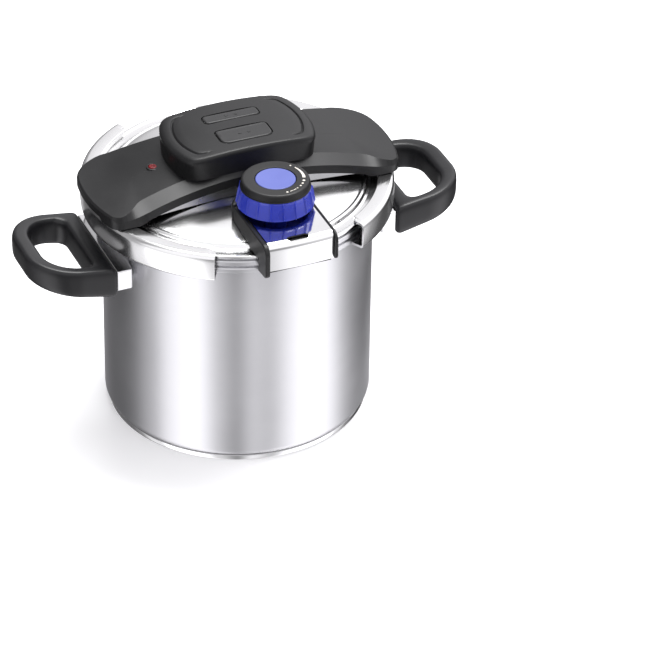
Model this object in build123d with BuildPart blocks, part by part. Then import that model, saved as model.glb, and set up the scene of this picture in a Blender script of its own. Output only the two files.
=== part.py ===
from build123d import *
import os
from math import cos, radians, sin, sqrt

# Pressure canner, 22 cm pot class: stainless pot, clamped lid, two jaws under a black bridge.
# Millimetres. +Z up, origin at the middle of the base, +X to the right handle, -Y to the knob.

os.makedirs("parts", exist_ok=True)

# ---- clearances ----
gap = 0.3                # between pieces of different bodies
running = 0.05           # radial, shaft in its own bore
button_gap = 0.5         # each side of a button in its pocket

# ---- pot ----
pot_radius = 111.0
pot_wall = 1.2
pot_corner = 7.0         # outside radius between wall and floor
base_radius = pot_radius - 3.0
cap_sheet = 0.8
disc_thickness = 4.0
floor_z = cap_sheet + disc_thickness
rim_z = 202.5            # top of the pot's rolled rim
rim_radius = pot_radius + 8.0
rim_drop = 12.9          # height of the rolled band
rim_sheet = 1.6

# ---- lid ----
lid_sheet = 1.8
lid_edge_radius = rim_radius - 0.2
lid_bead = 2.8           # height of the rolled edge
lid_step_radius = pot_radius - 7.0   # foot of the raised centre
lid_step_run = 3.0
lid_step_rise = 7.4
lid_flat_radius = 60.0
lid_crown = 1.0
seal_width = 6.0
seal_height = 6.5
seal_lip = 1.6

# ---- jaws ----
jaw_radius = rim_radius + 9.5
jaw_inner_radius = rim_radius - 5.0
jaw_lip_radius = rim_radius - 4.0
jaw_sheet = 2.0
jaw_top_z = rim_z + 7.5
jaw_lip_gap = 0.6        # under the pot's rim
jaw_angle = 120.0
jaw_travel = 12.0
jaw_bend = 4.0

# ---- jaw arms ----
arm_inner_x = 28.0
arm_pad_outer_x = jaw_radius - 6.5
arm_pad_inner_x = jaw_inner_radius - 2.0
arm_riser_x = lid_step_radius + 4.0
arm_sheet = 2.0
prong_inner_y = 10.0
prong_outer_y = 24.0
rivet_radius = 2.0
rivet_head_radius = 3.4
rivet_head = 1.2

# ---- bridge ----
bridge_radius = jaw_radius + 3.0
bridge_half_width = 47.5
bridge_waist = bridge_half_width - 8.5   # half width in the middle
bridge_waist_x = lid_step_radius         # where the sides become parallel
bridge_end_z = jaw_top_z + 13.75
bridge_mid_z = bridge_end_z + 13.25
bridge_wall = 3.0
bridge_corner = 9.0

# ---- pod on the bridge ----
pod_half_x = 62.4
pod_half_y = bridge_waist - 0.5
pod_corner = 24.0
pod_top_z = bridge_mid_z + 20.0
pod_wall = 3.0
pod_edge = 5.0
panel_inset = 8.5
panel_thickness = 1.6
panel_gap = 0.4

# ---- buttons ----
open_button_length = 44.0
open_button_width = 20.0
open_button_y = -15.5
open_button_travel = 4.8
close_button_length = 47.0
close_button_width = 11.5
close_button_y = 14.0
button_height = 6.6
button_proud = 1.0
button_corner = 4.0
stem_radius = 3.0
guide_thickness = 2.0
guide_z = pod_top_z - 18.0
stem_clearance = 1.5     # under a pressed stem

# ---- mechanism frame ----
frame_half_x = pod_half_x - 0.4     # stops short of the indicator and the safety valve
frame_half_y = bridge_waist - 8.0
frame_sheet = 1.2
frame_wall_height = 7.0
lug_x = 6.0
lug_thickness = 2.0
jaw_spring_radius = 2.4
jaw_spring_wire = 0.4
jaw_spring_y = 17.0
stud_radius = 4.0

# ---- pressure indicator ----
indicator_x = -pod_half_x - 9.6
indicator_y = 3.0
indicator_stem = 2.2
indicator_head = 3.6
indicator_proud = 0.6
indicator_travel = 3.0

# ---- safety valve ----
safety_x = pod_half_x + 9.6
safety_body_radius = 6.5
safety_thread_radius = 4.8
safety_bore_radius = 3.2
safety_height = 9.5

# ---- working valve and its housing ----
valve_y = 30.0 - pot_radius
valve_stud_radius = 6.25
valve_bore_radius = 4.0
housing_half_width = 31.0
housing_wall = 3.6
housing_top_z = rim_z + 22.5
housing_front_y = -rim_radius - 18.0
housing_front_z = rim_z - 11.5
housing_rear_radius = housing_half_width + 4.0
plate_half_width = housing_half_width - 4.3
plate_sheet = 1.2
plate_front_y = housing_front_y + 2.4
plate_bottom_z = rim_z - 1.5
plate_bend = 6.0
plate_rear_y = valve_y + 16.0
outlet_length = 18.0
outlet_width = 4.6

# ---- selector knob ----
knob_bottom_z = housing_top_z + 3.9
knob_collar_z = knob_bottom_z + 15.8     # top of the fluted ring
knob_top_z = knob_collar_z + 6.5
knob_base_radius = 32.0
knob_collar_radius = knob_base_radius - 2.7
knob_wall = 3.0
knob_hub_radius = 9.5
knob_cap_radius = knob_base_radius / 2
scale_radius = knob_collar_radius - 4.8
scale_mark = 0.3
scale_step = 17.0        # degrees between marks
scale_count = 7
valve_stud_top_z = knob_top_z - 11.0

# ---- side handles ----
handle_back_x = pot_radius + 11.0
handle_tip_x = handle_back_x + 66.5
handle_half_width = 48.5
handle_tip_wall = 14.0
handle_leg_wall = 10.5
handle_body_x = handle_back_x + 16.0
handle_root_low_z = rim_z - 55.0
handle_root_high_z = rim_z - 28.0
handle_tip_low_z = rim_z - 40.0
handle_tip_high_z = rim_z - 18.5
handle_corner = 34.0
handle_edge = 3.5
bracket_half_width = handle_half_width - 2.2
bracket_low_z = handle_root_low_z + 5.5
bracket_high_z = handle_root_high_z - 3.5
bracket_root = 21.0      # how far the box reaches in past the wall's outermost line
bracket_sheet = 1.5
screw_y = 20.0
screw_radius = 2.5
screw_head_radius = 4.5
screw_head = 3.0
screw_grip = 10.0

# ---- values that follow from the sizes above ----
lid_z = rim_z + gap                              # underside of the lid's flange
flange_top_z = lid_z + lid_sheet
step_top_z = flange_top_z + lid_step_rise
lid_top_z = step_top_z + lid_crown
step_inner_radius = lid_step_radius - lid_step_run
rim_under_z = rim_z - rim_drop
jaw_bottom_z = rim_under_z - jaw_lip_gap - jaw_sheet
bridge_bottom_z = jaw_top_z + 0.5
frame_top_z = lid_top_z + frame_sheet
prong_z = frame_top_z + gap
panel_floor_z = pod_top_z - panel_thickness
button_top_z = pod_top_z + button_proud
button_bottom_z = button_top_z - button_height
stem_bottom_z = prong_z + arm_sheet + open_button_travel + stem_clearance


def radial_plane(angle):
    """Upright plane through the Z axis: its x is the radius and its y is height."""
    a = radians(angle)
    return Plane(origin=(0, 0, 0), x_dir=(cos(a), sin(a), 0), z_dir=(sin(a), -cos(a), 0))


def turned(points, angle=360.0, start=0.0, rounds=()):
    """A solid of revolution about Z from (radius, height) points, part turn from start."""
    with BuildPart() as body:
        with BuildSketch(radial_plane(start)) as profile:
            with BuildLine():
                Polyline(*points, close=True)
            make_face()
            for corner, radius in rounds:
                fillet(profile.vertices().sort_by_distance((*corner, 0))[0], radius)
        revolve(axis=Axis.Z, revolution_arc=angle)
    return body.part


def coil(origin, direction, radius, wire, length, turns):
    """A round-wire compression spring that starts at origin and runs along direction."""
    with BuildPart() as spring:
        with BuildLine() as path:
            Helix(pitch=(length - 2 * wire) / turns, height=length - 2 * wire, radius=radius,
                  center=origin, direction=direction)
        with BuildSketch(Plane(origin=path.line @ 0, z_dir=path.line % 0)):
            Circle(wire)
        sweep()
    return spring.part.moved(Location(Vector(*direction).normalized() * wire))


def save(part, name):
    """Label the finished piece and write it as its own file."""
    part.label = name
    export_step(part, f"parts/{name}.step")


# ================= pot =================
with BuildPart() as base_cap:
    Cylinder(base_radius, floor_z, align=(Align.CENTER, Align.CENTER, Align.MIN))
    fillet(base_cap.edges().group_by(Axis.Z)[0], 0.6)
    with Locations((0, 0, cap_sheet)):
        Cylinder(base_radius - cap_sheet, disc_thickness, mode=Mode.SUBTRACT,
                 align=(Align.CENTER, Align.CENTER, Align.MIN))
save(base_cap.part, "base_cap")

with BuildPart() as base_disc:
    with Locations((0, 0, cap_sheet)):
        Cylinder(base_radius - cap_sheet, disc_thickness,
                 align=(Align.CENTER, Align.CENTER, Align.MIN))
save(base_disc.part, "base_disc")

skirt_inner = rim_radius - rim_sheet
inside = pot_radius - pot_wall
pot = turned(
    [(0, floor_z), (pot_radius, floor_z), (pot_radius, rim_z - rim_sheet),
     (skirt_inner, rim_z - rim_sheet), (skirt_inner, rim_under_z), (rim_radius, rim_under_z),
     (rim_radius, rim_z), (inside, rim_z), (inside, floor_z + pot_wall), (0, floor_z + pot_wall)],
    rounds=[((pot_radius, floor_z), pot_corner), ((inside, floor_z + pot_wall), pot_corner - pot_wall),
            ((rim_radius, rim_z), rim_sheet), ((inside, rim_z), 0.5)])
save(pot, "pot_body")


def make_handle(side):
    """Black D-shaped loop handle; side is +1 on the right and -1 on the left."""
    span = handle_tip_x - handle_back_x
    with BuildPart() as handle:
        with BuildSketch(Plane.XZ.offset(-handle_half_width)):
            with BuildLine():
                Polyline((side * handle_back_x, handle_root_low_z),
                         (side * handle_tip_x, handle_tip_low_z),
                         (side * handle_tip_x, handle_tip_high_z),
                         (side * handle_back_x, handle_root_high_z), close=True)
            make_face()
        extrude(amount=2 * handle_half_width)
        with BuildSketch(Plane.XY) as plan:
            with Locations((side * (handle_back_x + span / 2), 0)):
                Rectangle(span, 2 * handle_half_width)
            outer = plan.vertices().group_by(Axis.X)[-1 if side > 0 else 0]
            fillet(outer, handle_corner)
        extrude(amount=pod_top_z, mode=Mode.INTERSECT)
        opening_length = handle_tip_x - handle_tip_wall - handle_body_x
        with BuildSketch(Plane.XY) as hole:
            with Locations((side * (handle_body_x + opening_length / 2), 0)):
                Rectangle(opening_length, 2 * (handle_half_width - handle_leg_wall))
            outer = hole.vertices().group_by(Axis.X)[-1 if side > 0 else 0]
            inner = hole.vertices().group_by(Axis.X)[0 if side > 0 else -1]
            fillet(outer, handle_corner - handle_leg_wall)
            fillet(inner, handle_edge)
        extrude(amount=pod_top_z, mode=Mode.SUBTRACT)
        upper = handle.faces().filter_by(lambda f: f.normal_at().Z > 0.9)
        lower = handle.faces().filter_by(lambda f: f.normal_at().Z < -0.9)
        fillet((upper + lower).edges().filter_by(lambda e: abs(e.center().X) > handle_back_x + 1),
               handle_edge)
        with Locations(Plane(origin=(side * handle_body_x, 0, 0), x_dir=(0, side, 0), z_dir=(side, 0, 0))):
            with Locations((screw_y, bracket_mid_z), (-screw_y, bracket_mid_z)):
                Cylinder(screw_radius, 2 * screw_grip + 40, mode=Mode.SUBTRACT)
                Cylinder(screw_head_radius, 2 * screw_head, mode=Mode.SUBTRACT)
    return handle.part


def make_bracket(side):
    """Stainless box bracket, welded to the pot's wall, that the handle is screwed to."""
    depth = handle_back_x - pot_radius + bracket_root
    with BuildPart() as bracket:
        with Locations((side * (handle_back_x - depth / 2), 0, bracket_mid_z)):
            Box(depth, 2 * bracket_half_width, bracket_high_z - bracket_low_z)
            Box(depth - 2 * bracket_sheet, 2 * (bracket_half_width - bracket_sheet),
                bracket_high_z - bracket_low_z, mode=Mode.SUBTRACT)
        with Locations((0, 0, bracket_mid_z)):
            Cylinder(pot_radius, 2 * (bracket_high_z - bracket_low_z), mode=Mode.SUBTRACT)
        with Locations((side * handle_back_x, screw_y, bracket_mid_z),
                       (side * handle_back_x, -screw_y, bracket_mid_z)):
            Cylinder(screw_radius, 4 * bracket_sheet, rotation=(0, 90, 0), mode=Mode.SUBTRACT)
    return bracket.part


def make_screws(side):
    """Two pan-head screws through the handle's body into the bracket."""
    head_x = side * (handle_body_x - screw_head)
    with BuildPart() as screws:
        with BuildSketch(Plane(origin=(head_x, 0, 0), x_dir=(0, side, 0), z_dir=(side, 0, 0))):
            with Locations((screw_y, bracket_mid_z), (-screw_y, bracket_mid_z)):
                Circle(screw_head_radius)
        extrude(amount=screw_head - 0.4)
        with BuildSketch(Plane(origin=(head_x, 0, 0), x_dir=(0, side, 0), z_dir=(side, 0, 0))):
            with Locations((screw_y, bracket_mid_z), (-screw_y, bracket_mid_z)):
                Circle(screw_radius)
        extrude(amount=-(handle_body_x - screw_head - handle_back_x + 2 * bracket_sheet))
    return screws.part


bracket_mid_z = (bracket_low_z + bracket_high_z) / 2
for word, side in (("left", -1), ("right", 1)):
    save(make_handle(side), f"{word}_handle")
    save(make_bracket(side), f"{word}_handle_bracket")
    save(make_screws(side), f"{word}_handle_screws")

# ================= lid =================
lip_radius = pot_radius - pot_wall - gap - seal_width
under_step_z = step_top_z - lid_sheet
lid_disc = turned(
        [(0, lid_top_z), (lid_flat_radius, lid_top_z), (step_inner_radius, step_top_z),
         (lid_step_radius, flange_top_z), (lid_edge_radius - lid_bead, flange_top_z),
         (lid_edge_radius - lid_bead, lid_z + lid_bead), (lid_edge_radius, lid_z + lid_bead),
         (lid_edge_radius, lid_z), (lip_radius, lid_z), (lip_radius, lid_z - seal_height),
         (lip_radius - seal_lip, lid_z - seal_height), (lip_radius - seal_lip, lid_z),
         (step_inner_radius - lid_sheet, under_step_z), (lid_flat_radius, lid_top_z - lid_sheet),
         (0, lid_top_z - lid_sheet)],
        rounds=[((lid_edge_radius, lid_z + lid_bead), 1.2), ((step_inner_radius, step_top_z), 1.5)])
with BuildPart() as lid:
    add(lid_disc)
    with Locations((0, 0, lid_top_z)):
        Cylinder(stud_radius, 20, mode=Mode.SUBTRACT)
    with Locations((indicator_x, indicator_y, lid_top_z)):
        Cylinder(indicator_stem + 2.0, 20, mode=Mode.SUBTRACT)
    with Locations((safety_x, 0, lid_top_z)):
        Cylinder(safety_thread_radius, 20, mode=Mode.SUBTRACT)
    with Locations((0, valve_y, lid_top_z)):
        Cylinder(valve_stud_radius, 20, mode=Mode.SUBTRACT)
save(lid.part, "lid_shell")

seal = turned([(lip_radius, lid_z - seal_height), (lip_radius + seal_width * 0.55, lid_z - seal_height),
               (lip_radius + seal_width, lid_z - seal_height + 2.0), (lip_radius + seal_width, lid_z),
               (lip_radius, lid_z)])
save(seal, "lid_seal")

# ================= jaws =================
for word, middle, side in (("left", 180.0, -1), ("right", 0.0, 1)):
    jaw = turned(
        [(jaw_inner_radius, jaw_top_z - jaw_sheet), (jaw_radius - jaw_sheet, jaw_top_z - jaw_sheet),
         (jaw_radius - jaw_sheet, jaw_bottom_z + jaw_sheet), (jaw_lip_radius, jaw_bottom_z + jaw_sheet),
         (jaw_lip_radius, jaw_bottom_z), (jaw_radius, jaw_bottom_z), (jaw_radius, jaw_top_z),
         (jaw_inner_radius, jaw_top_z)],
        angle=jaw_angle, start=middle - jaw_angle / 2,
        rounds=[((jaw_radius, jaw_top_z), jaw_bend), ((jaw_radius, jaw_bottom_z), 2.5),
                ((jaw_radius - jaw_sheet, jaw_top_z - jaw_sheet), jaw_bend - jaw_sheet)])
    rivet_x = side * (arm_pad_outer_x - 4.5)
    rivet_y = (prong_inner_y + prong_outer_y) / 2
    with BuildPart() as jaw_part:
        add(jaw)
        with Locations((rivet_x, rivet_y, jaw_top_z), (rivet_x, -rivet_y, jaw_top_z)):
            Cylinder(rivet_radius, 4 * jaw_sheet, mode=Mode.SUBTRACT)
    save(jaw_part.part, f"{word}_jaw")

    # the arm: a pad on the jaw, a riser over the lid's step, and two prongs under the bridge
    with BuildPart() as arm:
        with BuildSketch(Plane.XZ.offset(-prong_outer_y)):
            with BuildLine():
                Polyline(*[(side * x, z) for x, z in (
                    (arm_pad_outer_x, jaw_top_z), (arm_pad_inner_x, jaw_top_z),
                    (arm_riser_x, prong_z), (arm_inner_x, prong_z),
                    (arm_inner_x, prong_z + arm_sheet), (arm_riser_x + 1.0, prong_z + arm_sheet),
                    (arm_pad_inner_x + 1.0, jaw_top_z + arm_sheet),
                    (arm_pad_outer_x, jaw_top_z + arm_sheet))], close=True)
            make_face()
        extrude(amount=2 * prong_outer_y)
        slot_length = arm_riser_x - jaw_travel - arm_inner_x
        with Locations((side * (arm_inner_x + slot_length / 2), 0, prong_z)):
            Box(slot_length, 2 * prong_inner_y, 4 * arm_sheet, mode=Mode.SUBTRACT)
        with Locations((rivet_x, rivet_y, jaw_top_z), (rivet_x, -rivet_y, jaw_top_z)):
            Cylinder(rivet_radius, 6 * arm_sheet, mode=Mode.SUBTRACT)
    save(arm.part, f"{word}_jaw_arm")

    with BuildPart() as rivets:
        with BuildSketch(Plane.XY.offset(jaw_top_z - jaw_sheet)):
            with Locations((rivet_x, rivet_y), (rivet_x, -rivet_y)):
                Circle(rivet_radius)
        extrude(amount=jaw_sheet + arm_sheet)
        with BuildSketch(Plane.XY.offset(jaw_top_z - jaw_sheet)):
            with Locations((rivet_x, rivet_y), (rivet_x, -rivet_y)):
                Circle(rivet_head_radius)
        extrude(amount=-rivet_head)
    save(rivets.part, f"{word}_jaw_rivets")

    spring_length = arm_inner_x - lug_x - lug_thickness
    spring_z = frame_top_z + jaw_spring_radius + 2 * jaw_spring_wire
    spring = coil((side * (lug_x + lug_thickness), -side * jaw_spring_y, spring_z),
                  (side, 0, 0), jaw_spring_radius, jaw_spring_wire, spring_length, 9)
    save(spring, f"{word}_jaw_spring")

# ================= mechanism frame under the bridge =================
with BuildPart() as frame:
    with Locations((0, 0, lid_top_z)):
        Box(2 * frame_half_x, 2 * frame_half_y, frame_sheet, align=(Align.CENTER, Align.CENTER, Align.MIN))
    for y in (frame_half_y - frame_sheet / 2, -frame_half_y + frame_sheet / 2):
        with Locations((0, y, lid_top_z)):
            Box(2 * frame_half_x, frame_sheet, frame_wall_height,
                align=(Align.CENTER, Align.CENTER, Align.MIN))
    for side in (-1, 1):
        for y in (jaw_spring_y, -jaw_spring_y):
            with Locations((side * (lug_x + lug_thickness / 2), y, lid_top_z)):
                Box(lug_thickness, 12.0, frame_wall_height, align=(Align.CENTER, Align.CENTER, Align.MIN))
    with Locations((0, 0, lid_top_z)):
        Cylinder(stud_radius, 10, mode=Mode.SUBTRACT)
save(frame.part, "mechanism_frame")

stud_top_z = frame_top_z + 14.0
with BuildPart() as stud:
    with Locations((0, 0, lid_top_z - 12)):
        Cylinder(stud_radius, stud_top_z - lid_top_z + 12, align=(Align.CENTER, Align.CENTER, Align.MIN))
save(stud.part, "bridge_stud")

nut_thickness = 4.0
with BuildPart() as nut:
    with BuildSketch(Plane.XY.offset(lid_top_z - lid_sheet)):
        RegularPolygon(7.5, 6)
        Circle(stud_radius, mode=Mode.SUBTRACT)
    extrude(amount=-nut_thickness)
save(nut.part, "bridge_lower_nut")

with BuildPart() as upper_nut:
    with BuildSketch(Plane.XY.offset(frame_top_z)):
        RegularPolygon(5.8, 6)
        Circle(stud_radius, mode=Mode.SUBTRACT)
    extrude(amount=nut_thickness)
save(upper_nut.part, "bridge_upper_nut")


# ================= bridge and pod =================
def bridge_solid(inset, top_drop, low_z):
    """The bridge's outside shape, moved in by inset and down by top_drop."""
    radius = bridge_radius - inset
    half = bridge_half_width - inset
    corner_x = sqrt(radius ** 2 - half ** 2)
    with BuildPart() as body:
        with BuildSketch(Plane.XY.offset(low_z)) as plan:
            with BuildLine():
                ThreePointArc((-corner_x, -half), (-radius, 0), (-corner_x, half))
                Line((-corner_x, half), (-bridge_waist_x, half))
                ThreePointArc((-bridge_waist_x, half), (0, bridge_waist - inset), (bridge_waist_x, half))
                Line((bridge_waist_x, half), (corner_x, half))
                ThreePointArc((corner_x, half), (radius, 0), (corner_x, -half))
                Line((corner_x, -half), (bridge_waist_x, -half))
                ThreePointArc((bridge_waist_x, -half), (0, -bridge_waist + inset), (-bridge_waist_x, -half))
                Line((-bridge_waist_x, -half), (-corner_x, -half))
            make_face()
            corners = plan.vertices().filter_by(lambda v: abs(abs(v.X) - corner_x) < 0.01)
            fillet(corners, bridge_corner - inset / 2)
        extrude(amount=60)
        end_z = bridge_end_z - top_drop
        with BuildSketch(Plane.XZ.offset(-bridge_half_width)):
            with BuildLine():
                ThreePointArc((-bridge_waist_x, end_z), (0, bridge_mid_z - top_drop),
                              (bridge_waist_x, end_z))
                Polyline((bridge_waist_x, end_z), (radius - 10, end_z), (radius + 1, end_z - 3.5),
                         (radius + 1, low_z), (-radius - 1, low_z), (-radius - 1, end_z - 3.5),
                         (-radius + 10, end_z), (-bridge_waist_x, end_z))
            make_face()
        extrude(amount=2 * bridge_half_width, mode=Mode.INTERSECT)
    return body.part


bridge_outside = bridge_solid(0, 0, bridge_bottom_z)
bridge_inside = bridge_solid(bridge_wall, bridge_wall, bridge_bottom_z - 1)
with BuildPart() as bridge:
    add(bridge_outside)
    add(bridge_inside, mode=Mode.SUBTRACT)
    Cylinder(lid_step_radius + gap, lid_top_z, mode=Mode.SUBTRACT,
             align=(Align.CENTER, Align.CENTER, Align.MIN))
    Box(4 * bridge_radius, 2 * prong_outer_y + 3, 2 * (jaw_top_z + arm_sheet + 0.8), mode=Mode.SUBTRACT)
    Box(76.0, 56.0, 4 * bridge_mid_z, mode=Mode.SUBTRACT)
    with Locations((indicator_x, indicator_y, bridge_mid_z)):
        Cylinder(indicator_head + gap, 40, mode=Mode.SUBTRACT)
save(bridge.part, "bridge_cover")

with BuildPart() as pod:
    with BuildSketch(Plane.XY.offset(bridge_end_z - bridge_wall)):
        RectangleRounded(2 * pod_half_x, 2 * pod_half_y, pod_corner)
    extrude(amount=pod_top_z - bridge_end_z + bridge_wall)
    fillet(pod.edges().group_by(Axis.Z)[-1], pod_edge)
    with BuildSketch(Plane.XY.offset(bridge_end_z - bridge_wall)):
        RectangleRounded(2 * (pod_half_x - pod_wall), 2 * (pod_half_y - pod_wall), pod_corner - pod_wall)
    extrude(amount=panel_floor_z - pod_wall - bridge_end_z + bridge_wall, mode=Mode.SUBTRACT)
    with BuildSketch(Plane.XY.offset(panel_floor_z)):
        RectangleRounded(2 * (pod_half_x - panel_inset), 2 * (pod_half_y - panel_inset),
                         pod_corner - panel_inset)
    extrude(amount=2 * panel_thickness, mode=Mode.SUBTRACT)
    add(bridge_outside, mode=Mode.SUBTRACT)
    for length, width, y in ((open_button_length, open_button_width, open_button_y),
                             (close_button_length, close_button_width, close_button_y)):
        with BuildSketch(Plane.XY.offset(panel_floor_z - 2 * pod_wall)):
            with Locations((0, y)):
                RectangleRounded(length + 2 * button_gap, width + 2 * button_gap, button_corner + button_gap)
        extrude(amount=4 * pod_wall, mode=Mode.SUBTRACT)
save(pod.part, "pod_shell")

panel_edge = panel_inset + panel_gap
with BuildPart() as panel:
    with BuildSketch(Plane.XY.offset(panel_floor_z)):
        RectangleRounded(2 * (pod_half_x - panel_edge), 2 * (pod_half_y - panel_edge),
                         pod_corner - panel_edge)
        for length, width, y in ((open_button_length, open_button_width, open_button_y),
                                 (close_button_length, close_button_width, close_button_y)):
            with Locations((0, y)):
                RectangleRounded(length + 2 * button_gap, width + 2 * button_gap,
                                 button_corner + button_gap, mode=Mode.SUBTRACT)
    extrude(amount=panel_thickness)
save(panel.part, "pod_top_panel")

with BuildPart() as guide:
    with BuildSketch(Plane.XY.offset(guide_z)):
        RectangleRounded(2 * (pod_half_x - pod_wall), 2 * (pod_half_y - pod_wall), pod_corner - pod_wall)
        with Locations((0, open_button_y), (0, close_button_y)):
            Circle(stem_radius + running, mode=Mode.SUBTRACT)
    extrude(amount=guide_thickness)
save(guide.part, "button_guide_plate")


def make_button(length, width, y):
    """A rounded button with its guide stem."""
    with BuildPart() as button:
        with BuildSketch(Plane.XY.offset(button_bottom_z)):
            with Locations((0, y)):
                RectangleRounded(length, width, button_corner)
        extrude(amount=button_height)
        fillet(button.edges().group_by(Axis.Z)[-1], 1.0)
        with Locations((0, y, stem_bottom_z)):
            Cylinder(stem_radius, button_bottom_z - stem_bottom_z,
                     align=(Align.CENTER, Align.CENTER, Align.MIN))
    return button.part


button_spring_length = button_bottom_z - guide_z - guide_thickness
for word, length, width, y in (("open", open_button_length, open_button_width, open_button_y),
                               ("close", close_button_length, close_button_width, close_button_y)):
    save(make_button(length, width, y), f"{word}_button")
    save(coil((0, y, guide_z + guide_thickness), (0, 0, 1), stem_radius + 1.2, 0.4,
              button_spring_length, 4), f"{word}_button_spring")

# ================= pressure indicator =================
arch_rise = bridge_mid_z - bridge_end_z
arch_radius = (bridge_waist_x ** 2 + arch_rise ** 2) / (2 * arch_rise)
indicator_hill_z = bridge_mid_z - arch_radius + sqrt(arch_radius ** 2 - indicator_x ** 2)
indicator_top_z = indicator_hill_z + indicator_proud
with BuildPart() as indicator:
    with Locations((indicator_x, indicator_y, lid_top_z - 8)):
        Cylinder(indicator_stem, indicator_top_z - lid_top_z + 6,
                 align=(Align.CENTER, Align.CENTER, Align.MIN))
    head_height = indicator_travel + bridge_wall
    with Locations((indicator_x, indicator_y, indicator_top_z - head_height)):
        Cylinder(indicator_head, head_height, align=(Align.CENTER, Align.CENTER, Align.MIN))
    fillet(indicator.edges().group_by(Axis.Z)[-1], 1.0)
save(indicator.part, "indicator_pin")

with BuildPart() as bush:
    with BuildSketch(Plane.XY.offset(lid_top_z - lid_sheet - 1.5)):
        with Locations((indicator_x, indicator_y)):
            Circle(indicator_stem + 2.0)
            Circle(indicator_stem + running, mode=Mode.SUBTRACT)
    extrude(amount=lid_sheet + 3.0)
save(bush.part, "indicator_bush")

# ================= safety valve =================
safety_top_z = lid_top_z + safety_height
with BuildPart() as safety_body:
    with Locations((safety_x, 0, lid_top_z)):
        Cylinder(safety_body_radius, safety_height, align=(Align.CENTER, Align.CENTER, Align.MIN))
    with Locations((safety_x, 0, lid_top_z - 8)):
        Cylinder(safety_thread_radius, 8, align=(Align.CENTER, Align.CENTER, Align.MIN))
        Cylinder(safety_bore_radius, safety_height + 6.5, mode=Mode.SUBTRACT,
                 align=(Align.CENTER, Align.CENTER, Align.MIN))
        Cylinder(1.2, safety_height + 20, mode=Mode.SUBTRACT,
                 align=(Align.CENTER, Align.CENTER, Align.MIN))
save(safety_body.part, "safety_valve_body")

with BuildPart() as safety_nut:
    with BuildSketch(Plane.XY.offset(lid_top_z - lid_sheet - lid_crown)):
        with Locations((safety_x, 0)):
            RegularPolygon(8.0, 6)
            Circle(safety_thread_radius, mode=Mode.SUBTRACT)
    extrude(amount=-nut_thickness)
save(safety_nut.part, "safety_valve_nut")

with BuildPart() as safety_piston:
    with Locations((safety_x, 0, lid_top_z - 8)):
        Cylinder(safety_bore_radius - running, 6.0, align=(Align.CENTER, Align.CENTER, Align.MIN))
save(safety_piston.part, "safety_valve_piston")

safety_spring_z = lid_top_z - 2
save(coil((safety_x, 0, safety_spring_z), (0, 0, 1), safety_bore_radius - 0.9, 0.4,
          safety_top_z - 1.5 - safety_spring_z, 5), "safety_valve_spring")

# ================= working valve =================
with BuildPart() as valve_stud:
    with Locations((0, valve_y, lid_top_z - 12)):
        Cylinder(valve_stud_radius, valve_stud_top_z - lid_top_z + 12,
                 align=(Align.CENTER, Align.CENTER, Align.MIN))
        Cylinder(valve_bore_radius, valve_stud_top_z - lid_top_z + 10, mode=Mode.SUBTRACT,
                 align=(Align.CENTER, Align.CENTER, Align.MIN))
save(valve_stud.part, "valve_stud")

with BuildPart() as valve_nut:
    with BuildSketch(Plane.XY.offset(lid_top_z - lid_sheet - lid_crown)):
        with Locations((0, valve_y)):
            RegularPolygon(10.5, 6)
            Circle(valve_stud_radius, mode=Mode.SUBTRACT)
    extrude(amount=-nut_thickness)
save(valve_nut.part, "valve_nut")

valve_piston_z = lid_top_z - 10
with BuildPart() as valve_piston:
    with Locations((0, valve_y, valve_piston_z)):
        Cylinder(valve_bore_radius - running, 12.0, align=(Align.CENTER, Align.CENTER, Align.MIN))
save(valve_piston.part, "valve_piston")

valve_spring_z = valve_piston_z + 12
save(coil((0, valve_y, valve_spring_z), (0, 0, 1), valve_bore_radius - 1.2, 0.5,
          valve_stud_top_z - 2 - valve_spring_z, 5), "valve_spring")


rear_y = valve_y + sqrt(housing_rear_radius ** 2 - housing_half_width ** 2)
with BuildPart() as housing:
    with BuildSketch(Plane.XY.offset(housing_front_z)):
        with BuildLine():
            Polyline((-housing_half_width, rear_y), (-housing_half_width, housing_front_y),
                     (housing_half_width, housing_front_y), (housing_half_width, rear_y))
            ThreePointArc((housing_half_width, rear_y), (0, valve_y + housing_rear_radius),
                          (-housing_half_width, rear_y))
        make_face()
    extrude(amount=housing_top_z - housing_front_z)
    fillet(housing.edges().filter_by(Axis.X).group_by(Axis.Y)[0].sort_by(Axis.Z)[-1], plate_bend + 1.5)
    hollow_length = plate_rear_y + gap - housing_front_y - housing_wall
    with BuildSketch(Plane.XY.offset(lid_top_z + 1)):
        with Locations((0, plate_rear_y + gap - hollow_length / 2)):
            Rectangle(2 * (housing_half_width - housing_wall), hollow_length)
    extrude(amount=housing_top_z, mode=Mode.SUBTRACT)
    Cylinder(rim_radius + 1.0, lid_z, mode=Mode.SUBTRACT, align=(Align.CENTER, Align.CENTER, Align.MIN))
    Cylinder(lid_edge_radius + gap, lid_z + lid_bead + gap, mode=Mode.SUBTRACT,
             align=(Align.CENTER, Align.CENTER, Align.MIN))
    Cylinder(lid_step_radius, lid_top_z, mode=Mode.SUBTRACT, align=(Align.CENTER, Align.CENTER, Align.MIN))
    with BuildSketch(Plane.XY.offset(housing_front_z - 1)):
        with Locations((0, housing_front_y)):
            Rectangle(2 * (plate_half_width + gap), 2 * (plate_front_y - housing_front_y + plate_sheet))
    extrude(amount=housing_top_z, mode=Mode.SUBTRACT)
    with Locations((0, valve_y, lid_top_z)):
        Cylinder(valve_stud_radius, 20, mode=Mode.SUBTRACT)
save(housing.part, "valve_housing")

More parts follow.
